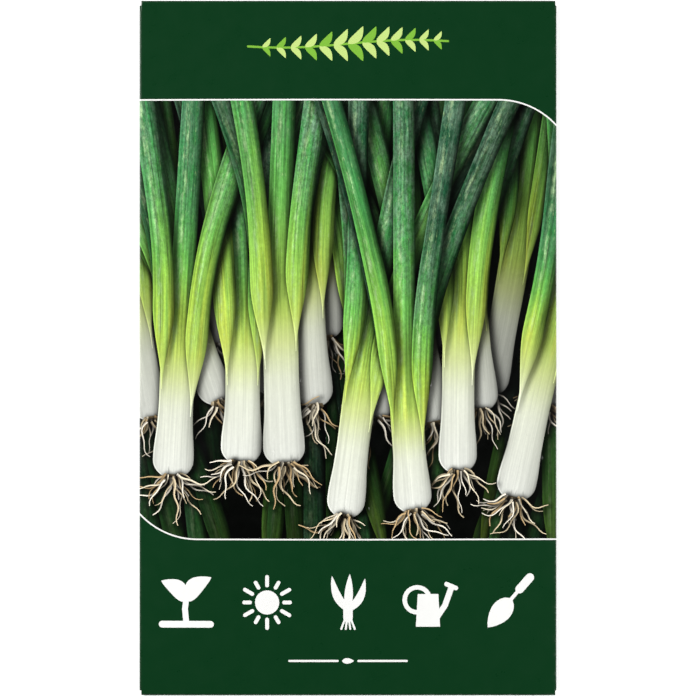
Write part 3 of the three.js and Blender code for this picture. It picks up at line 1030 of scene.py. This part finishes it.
def follow(tree, value, points):
    """The value of a smooth curve through a few points, from 0 to 1."""
    node = tree.nodes.new("ShaderNodeFloatCurve")
    curve = node.mapping.curves[0]
    curve.points[0].location = points[0]
    curve.points[-1].location = points[-1]
    for x, y in points[1:-1]:
        curve.points.new(x, y)
    node.mapping.update()
    tree.links.new(value, node.inputs["Value"])
    return node.outputs[0]


def bumpy(tree, height, distance, strength):
    return add(tree, "ShaderNodeBump", {"Height": height, "Distance": distance, "Strength": strength})


def wire(tree, shader, colour, roughness, normal):
    for name, value in (("Base Color", colour), ("Roughness", roughness), ("Normal", normal)):
        tree.links.new(value, shader[name])


def new_group(name, inputs, outputs, kind="ShaderNodeTree"):
    """A node group with named inputs and outputs, each given with its kind."""
    tree = bpy.data.node_groups.new(name, kind)
    for sockets, in_out in ((inputs, "INPUT"), (outputs, "OUTPUT")):
        for label, socket_kind in sockets.items():
            tree.interface.new_socket(name=label, in_out=in_out, socket_type="NodeSocket" + socket_kind)
    given = tree.nodes.new("NodeGroupInput").outputs
    result = tree.nodes.new("NodeGroupOutput").inputs
    return tree, given, result


def use(tree, group, inputs):
    """Places a node group in a material and returns its outputs."""
    return add(tree, "ShaderNodeGroup", inputs, node_tree=group).node.outputs


# Grain: fine felted fibres that show as faint mottling, in the gloss and as a slight bump.
paper_grain, given, result = new_group(
    "paper_grain",
    {"Colour": "Color", "Mottling": "Float", "Roughness": "Float", "Bump": "Float"},
    {"Colour": "Color", "Roughness": "Float", "Normal": "Vector"},
)
tree = paper_grain
place = add(tree, "ShaderNodeTexCoord", {}, out="Object")
cloudy = noise(tree, place, (260, 260, 260), 4.0, 0.6)
felted = noise(tree, place, (2400, 1500, 2400), 3.0, 0.65)
centred = calculate(tree, "SUBTRACT", cloudy, 0.5)
brightness = calculate(tree, "MULTIPLY_ADD", centred, given["Mottling"], 1.0)
tinted = add(tree, "ShaderNodeVectorMath", {0: given["Colour"], "Scale": brightness}, operation="SCALE")
tree.links.new(tinted, result["Colour"])
tree.links.new(calculate(tree, "MULTIPLY_ADD", centred, 0.16, given["Roughness"]), result["Roughness"])
tree.links.new(bumpy(tree, felted, 0.00002, given["Bump"]), result["Normal"])

# Wear: the paper shows white through broken ink on the crest of a fold.
WORN_WHITE = (0.78, 0.78, 0.74, 1)
worn_ink, given, result = new_group(
    "worn_ink",
    {"Ink": "Color", "Fold Wear": "Float", "Amount": "Float"},
    {"Colour": "Color"},
)
tree = worn_ink
place = add(tree, "ShaderNodeTexCoord", {}, out="Object")
scuffs = spread(tree, noise(tree, place, (900, 900, 900), 5.0, 0.7), 0.52, 0.68, 0.0, 1.0)
scuffed = calculate(tree, "MULTIPLY", scuffs, given["Fold Wear"])
rubbed = calculate(tree, "MULTIPLY", scuffed, given["Amount"])
tree.links.new(blend(tree, rubbed, given["Ink"], WORN_WHITE), result["Colour"])

# Light across: from the upper left, a hollow leaf falls off fast and a pale shaft slowly. A thin
# bright rim runs along the lit edge of a leaf.
stalk_light, given, result = new_group(
    "stalk_light",
    {"Across": "Float", "Aside": "Float", "Fleshy": "Float", "Waver": "Float"},
    {"Light": "Float", "Rim": "Float"},
)
tree = stalk_light
wavering = calculate(tree, "MULTIPLY_ADD", given["Waver"], 0.34, given["Across"])
from_left = calculate(tree, "MULTIPLY_ADD", wavering, 0.5, 0.5)
leaf_points = [(0, 0.62), (0.08, 0.88), (0.26, 1.0), (0.54, 0.96), (0.74, 0.66), (0.89, 0.24), (1, 0.03)]
shaft_points = [(0, 0.55), (0.1, 0.9), (0.3, 1.0), (0.62, 0.98), (0.86, 0.74), (1, 0.34)]
leaf_side = follow(tree, from_left, leaf_points)
shaft_side = follow(tree, from_left, shaft_points)
light = add(tree, "ShaderNodeMix", {0: given["Fleshy"], 2: leaf_side, 3: shaft_side})
tree.links.new(light, result["Light"])
share = calculate(tree, "ABSOLUTE", given["Across"])
distance = calculate(tree, "ABSOLUTE", given["Aside"])
half_width = calculate(tree, "DIVIDE", distance, calculate(tree, "MAXIMUM", share, 0.05))
from_edge = calculate(tree, "SUBTRACT", half_width, distance)
rim = spread(tree, from_edge, 0.1, 0.42, 1.0, 0.0)
lit_edge = calculate(tree, "LESS_THAN", given["Across"], 0.0)
tree.links.new(calculate(tree, "MULTIPLY", rim, lit_edge), result["Rim"])

# Skin: yellower streaks, grey bloom on old leaves, glints, short pale ticks, lengthwise ribs and
# a mottling. The noises read the place on the leaf: aside, along, and the leaf's number.
YELLOWER = (1.75, 1.2, 0.8)
BLOOM_GREY = (0.18, 0.29, 0.2, 1)
GLINT_GREEN = (0.5, 0.7, 0.36, 1)
TICK_GREEN = (0.42, 0.6, 0.26, 1)
stalk_skin, given, result = new_group(
    "stalk_skin",
    {"Ink": "Color", "Place": "Vector", "Across": "Float", "Fleshy": "Float", "Bloom": "Float"},
    {"Colour": "Color", "Light": "Float"},
)
tree = stalk_skin
leafy = calculate(tree, "SUBTRACT", 1.0, given["Fleshy"])
streaks = spread(tree, noise(tree, given["Place"], (0.5, 0.02, 3.3), 2.0), 0.46, 0.62, 0.0, 0.6)
yellowed = add(tree, "ShaderNodeVectorMath", {0: given["Ink"], 1: YELLOWER}, operation="MULTIPLY")
colour = blend(tree, calculate(tree, "MULTIPLY", streaks, leafy), given["Ink"], yellowed)
patches = spread(tree, noise(tree, given["Place"], (0.7, 0.2, 3.1), 6.0, 0.78), 0.4, 0.62, 0.0, 0.85)
bloomed = calculate(tree, "MULTIPLY", patches, given["Bloom"])
colour = blend(tree, bloomed, colour, BLOOM_GREY)
glint_points = [(0, 0), (0.14, 0.02), (0.27, 0.9), (0.33, 1.0), (0.4, 0.7), (0.52, 0.03), (1, 0)]
from_left = calculate(tree, "MULTIPLY_ADD", given["Across"], 0.5, 0.5)
along_glint = spread(tree, noise(tree, given["Place"], (0.8, 0.22, 5.3), 6.0, 0.75), 0.46, 0.7, 0.0, 0.75)
glint = calculate(tree, "MULTIPLY", follow(tree, from_left, glint_points), along_glint)
colour = blend(tree, calculate(tree, "MULTIPLY", glint, leafy), colour, GLINT_GREEN)
ticks = spread(tree, noise(tree, given["Place"], (3.1, 0.55, 9.1), 2.0), 0.66, 0.74, 0.0, 0.5)
colour = blend(tree, calculate(tree, "MULTIPLY", ticks, leafy), colour, TICK_GREEN)
tree.links.new(colour, result["Colour"])
ribs = spread(tree, noise(tree, given["Place"], (1.7, 0.03, 7.7), 4.0, 0.75), 0.32, 0.68, 0.4, 1.68)
mottle = spread(tree, noise(tree, given["Place"], (1.6, 0.9, 6.3), 4.0, 0.8), 0.36, 0.64, 0.5, 1.56)
mottled_share = calculate(tree, "MULTIPLY_ADD", given["Bloom"], 0.75, 0.25)
mottled = add(tree, "ShaderNodeMix", {0: mottled_share, 2: 1.0, 3: mottle})
ribs = calculate(tree, "MULTIPLY", ribs, mottled)
soft_ribs = calculate(tree, "MULTIPLY", given["Fleshy"], 0.8)
tree.links.new(add(tree, "ShaderNodeMix", {0: soft_ribs, 2: ribs, 3: 1.0}), result["Light"])


def stored(tree, name, out):
    node = tree.nodes.new("ShaderNodeAttribute")
    node.attribute_name = name
    return node.outputs[out]


def finish_paper(tree, shader, colour, mottling, roughness, bump, gloss):
    """Wires a colour and the paper's grain to a material's shader."""
    look = {"Colour": colour, "Mottling": mottling, "Roughness": roughness, "Bump": bump}
    grained = use(tree, paper_grain, look)
    wire(tree, shader, grained["Colour"], grained["Roughness"], grained["Normal"])
    shader["Specular IOR Level"].default_value = gloss


def finish_print(tree, shader, colour, mottling):
    """Printed and varnished paper, its ink worn along the folds."""
    worn = {"Ink": colour, "Fold Wear": stored(tree, "fold_wear", "Fac"), "Amount": 0.12}
    inked = use(tree, worn_ink, worn)["Colour"]
    finish_paper(tree, shader, inked, mottling, roughness=0.3, bump=0.12, gloss=0.24)


picture_print, tree, shader = new_material("picture_print")
stalk_place = stored(tree, "leaf_place", "Vector")
stalk_across = stored(tree, "across", "Fac")
aside_along = add(tree, "ShaderNodeSeparateXYZ", {0: stalk_place}).node.outputs
looks = stored(tree, "leaf_look", "Vector")
fleshy, bloom, lit_share = add(tree, "ShaderNodeSeparateXYZ", {0: looks}).node.outputs
waver = calculate(tree, "SUBTRACT", noise(tree, stalk_place, (0.0, 0.05, 2.3), 1.0), 0.5)
stalk = {"Across": stalk_across, "Aside": aside_along[0], "Fleshy": fleshy, "Waver": waver}
lighting = use(tree, stalk_light, stalk)
stalk = {"Ink": stored(tree, "ink", "Color"), "Place": stalk_place, "Across": stalk_across}
skin = use(tree, stalk_skin, {**stalk, "Fleshy": fleshy, "Bloom": bloom})
light = calculate(tree, "MULTIPLY", lighting["Light"], skin["Light"])
light = calculate(tree, "MULTIPLY_ADD", lighting["Rim"], 0.5, light)
light = calculate(tree, "MULTIPLY", light, lit_share)
lit = add(tree, "ShaderNodeVectorMath", {0: skin["Colour"], "Scale": light}, operation="SCALE")
finish_print(tree, shader, lit, 0.05)

flat_print, tree, shader = new_material("flat_print")
finish_print(tree, shader, stored(tree, "ink", "Color"), 0.08)

bare_paper, tree, shader = new_material("bare_paper")
finish_paper(tree, shader, (0.8, 0.79, 0.76, 1), mottling=0.12, roughness=0.85, bump=0.8, gloss=0.2)

for material in (picture_print, flat_print, bare_paper):
    sheet_mesh.materials.append(material)
sheet = new_object("folded_sheet", sheet_mesh)
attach(sheet, "root")
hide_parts("paper_sheet")

# Seeds: a thin heap of black onion seeds, loose between front and back. Each is an angular, dented
# grain. They lie in flat layers, as far out and as high as the paper over them leaves room.
SEED_LENGTH = 2.4
SEED_WIDTH = 1.9
SEED_THICKNESS = 1.15
SEED_PITCH = 1.95
SEED_LAYERS = 3
LAYER_PITCH = 1.15
LOWEST_LAYER = 1.5
ROOM_OVER_SEED = 0.85
HEAP_GRID = 1.0

layer_corners = []
layer_faces = []
for layer in range(SEED_LAYERS):
    z = LOWEST_LAYER + layer * LAYER_PITCH
    for x in np.arange(HEAP_X - HEAP_HALF_WIDTH, HEAP_X + HEAP_HALF_WIDTH, HEAP_GRID):
        for y in np.arange(HEAP_Y - HEAP_HALF_HEIGHT, HEAP_Y + HEAP_HALF_HEIGHT, HEAP_GRID):
            inset = SEED_LENGTH / 2 + 2 * layer
            from_middle_x = (x + HEAP_GRID / 2 - HEAP_X) / (HEAP_HALF_WIDTH - inset)
            from_middle_y = (y + HEAP_GRID / 2 - HEAP_Y) / (HEAP_HALF_HEIGHT - inset)
            under_paper = FRONT_LEVEL - PAPER / 2 + front_rise(x, y)
            if math.hypot(from_middle_x, from_middle_y) > 1 or z + ROOM_OVER_SEED > under_paper:
                continue
            first = len(layer_corners)
            spread_out = ((0, 0), (HEAP_GRID, 0), (HEAP_GRID, HEAP_GRID), (0, HEAP_GRID))
            layer_corners += [((x + dx) * MM, (y + dy) * MM, z * MM) for dx, dy in spread_out]
            layer_faces.append((first, first + 1, first + 2, first + 3))
layers_mesh = bpy.data.meshes.new("seed_layers")
layers_mesh.from_pydata(layer_corners, [], layer_faces)
seed_layers = new_object("seed_layers", layers_mesh)

GRAIN_RINGS = 3
GRAIN_SIDES = 7
grain = random.Random(5)
grain_corners = [(0, 0, -0.9), (0, 0, 0.78)]
for ring in range(GRAIN_RINGS):
    polar = math.pi * (ring + 1) / (GRAIN_RINGS + 1)
    for side in range(GRAIN_SIDES):
        turn = math.tau * (side + 0.5 * ring) / GRAIN_SIDES
        reach = math.sin(polar) * grain.uniform(0.8, 1.08) * (1 + 0.12 * math.cos(3 * turn))
        height = -math.cos(polar) * grain.uniform(0.75, 1)
        grain_corners.append((reach * math.cos(turn), reach * math.sin(turn), height))
grain_faces = []
for side in range(GRAIN_SIDES):
    after = (side + 1) % GRAIN_SIDES
    grain_faces.append((0, 2 + after, 2 + side))
    for ring in range(GRAIN_RINGS - 1):
        low = 2 + ring * GRAIN_SIDES
        grain_faces.append((low + side, low + after, low + GRAIN_SIDES + after, low + GRAIN_SIDES + side))
    top = 2 + (GRAIN_RINGS - 1) * GRAIN_SIDES
    grain_faces.append((top + side, top + after, 1))
grain_mesh = bpy.data.meshes.new("seed_grain")
half_sizes = (SEED_LENGTH / 2 * MM, SEED_WIDTH / 2 * MM, SEED_THICKNESS / 2 * MM)
grain_mesh.from_pydata([np.multiply(corner, half_sizes) for corner in grain_corners], [], grain_faces)
seed_grain = new_object("seed_grain", grain_mesh)

seed_coat, tree, shader = new_material("black_seed_coat")
seed_place = add(tree, "ShaderNodeTexCoord", {}, out="Object")
wrinkles = noise(tree, seed_place, (2600, 2600, 2600), 5.0, 0.7)
dusty = spread(tree, noise(tree, seed_place, (500, 500, 500), 3.0), 0.45, 0.7, 0.0, 0.5)
black = blend(tree, dusty, (0.008, 0.008, 0.009, 1), (0.035, 0.033, 0.03, 1))
dullness = spread(tree, wrinkles, 0.3, 0.7, 0.42, 0.75)
wire(tree, shader, black, dullness, bumpy(tree, wrinkles, 0.00008, 0.7))

scatter, given, result = new_group(
    "scattered_seeds",
    {"Geometry": "Geometry", "Grain": "Object", "Pitch": "Float", "Tilt": "Float", "Coat": "Material"},
    {"Geometry": "Geometry"},
    "GeometryNodeTree",
)
points = {"Mesh": given["Geometry"], "Distance Min": given["Pitch"], "Density Max": 1e6, "Seed": 4}
points = add(scatter, "GeometryNodeDistributePointsOnFaces", points, distribute_method="POISSON")
grain_in = add(scatter, "GeometryNodeObjectInfo", {"Object": given["Grain"]}, out="Geometry")
lowest_tilt = calculate(scatter, "MULTIPLY", given["Tilt"], -1.0)
low_turn = add(scatter, "ShaderNodeCombineXYZ", {0: lowest_tilt, 1: lowest_tilt, 2: 0.0})
high_turn = add(scatter, "ShaderNodeCombineXYZ", {0: given["Tilt"], 1: given["Tilt"], 2: math.tau})
turned = {0: low_turn, 1: high_turn, "Seed": 8}
turned = add(scatter, "FunctionNodeRandomValue", turned, data_type="FLOAT_VECTOR")
sized = {0: (0.82, 0.82, 0.85), 1: (1.0, 1.0, 1.0), "Seed": 9}
sized = add(scatter, "FunctionNodeRandomValue", sized, data_type="FLOAT_VECTOR")
placed = {"Points": points, "Instance": grain_in, "Rotation": turned, "Scale": sized}
placed = add(scatter, "GeometryNodeInstanceOnPoints", placed)
real = add(scatter, "GeometryNodeRealizeInstances", {"Geometry": placed})
coated = add(scatter, "GeometryNodeSetMaterial", {"Geometry": real, "Material": given["Coat"]})
scatter.links.new(coated, result["Geometry"])

scattering = seed_layers.modifiers.new("scattered_seeds", "NODES")
scattering.node_group = scatter
named_inputs = {"Grain": seed_grain, "Pitch": SEED_PITCH * MM, "Tilt": 0.2, "Coat": seed_coat}
for socket in scatter.interface.items_tree:
    if socket.in_out == "INPUT" and socket.name in named_inputs:
        scattering[socket.identifier] = named_inputs[socket.name]
evaluated = seed_layers.evaluated_get(bpy.context.evaluated_depsgraph_get())
heap_mesh = bpy.data.meshes.new_from_object(evaluated)
seed_layers.modifiers.clear()
bpy.data.objects.remove(seed_layers)
bpy.data.objects.remove(seed_grain)
seed_heap = new_object("seed_heap", heap_mesh)
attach(seed_heap, "root")
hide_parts("seeds")

# Glue bands: dried dispersion glue between two layers of paper, a thin clear film, pale amber,
# with the streaks and small bubbles of the wheel that laid it on.
dried_glue, tree, shader = new_material("dried_glue")
glue_place = add(tree, "ShaderNodeTexCoord", {}, out="Object")
laid_on = noise(tree, glue_place, (300, 60, 300), 4.0, 0.6)
streaked = spread(tree, laid_on, 0.35, 0.65, 0.0, 1.0)
amber = blend(tree, streaked, (0.62, 0.5, 0.27, 1), (0.78, 0.7, 0.48, 1))
dullness = spread(tree, laid_on, 0.3, 0.7, 0.25, 0.5)
bubbles = noise(tree, glue_place, (1800, 1800, 1800), 3.0, 0.6)
wire(tree, shader, amber, dullness, bumpy(tree, bubbles, 0.00003, 0.5))
for name in ("side_seam_glue", "bottom_flap_glue", "top_flap_glue"):
    for slot in bpy.data.objects[name].material_slots:
        slot.material = dried_glue
